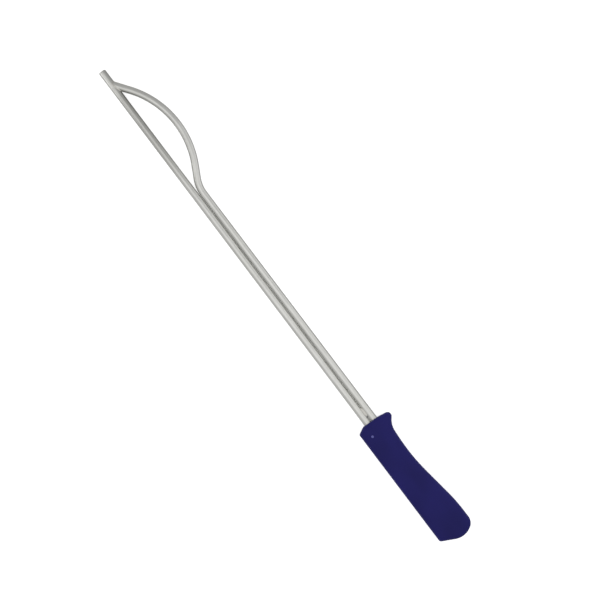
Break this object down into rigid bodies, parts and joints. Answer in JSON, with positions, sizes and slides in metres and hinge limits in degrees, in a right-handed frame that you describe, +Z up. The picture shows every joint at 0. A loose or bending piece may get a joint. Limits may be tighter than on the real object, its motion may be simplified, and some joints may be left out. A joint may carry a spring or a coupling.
{
  "type": "long-handled loop tool",
  "caption": "Long-handled hand tool: a straight round bar and a bowed one welded beside it to form a closed loop near the tip, pinned in a moulded plastic handle with a finger guard.",
  "frame": {"origin": "on the surface that the handle's flat side lies on, under the middle of the tool's length and width", "axes": "+Y from the handle to the tip, +X from the straight bar to the bow and the finger guard, +Z up, square to the handle's flat sides"},
  "size_m": [0.0401, 0.508, 0.019],
  "materials": {
    "bar_steel": "satin drawn stainless bar",
    "weld_steel": "cleaned weld bead, slightly rippled",
    "handle_plastic": "fine moulded texture, semi-matte",
    "pin_steel": "dull cut end"
  },
  "bodies": {
    "root": {"straight_rod": "bar_steel", "bowed_rod": "bar_steel", "tip_weld": "weld_steel", "neck_weld_upper": "weld_steel", "neck_weld_lower": "weld_steel", "handle": "handle_plastic", "handle_pin": "pin_steel"}
  },
  "joints": []
}
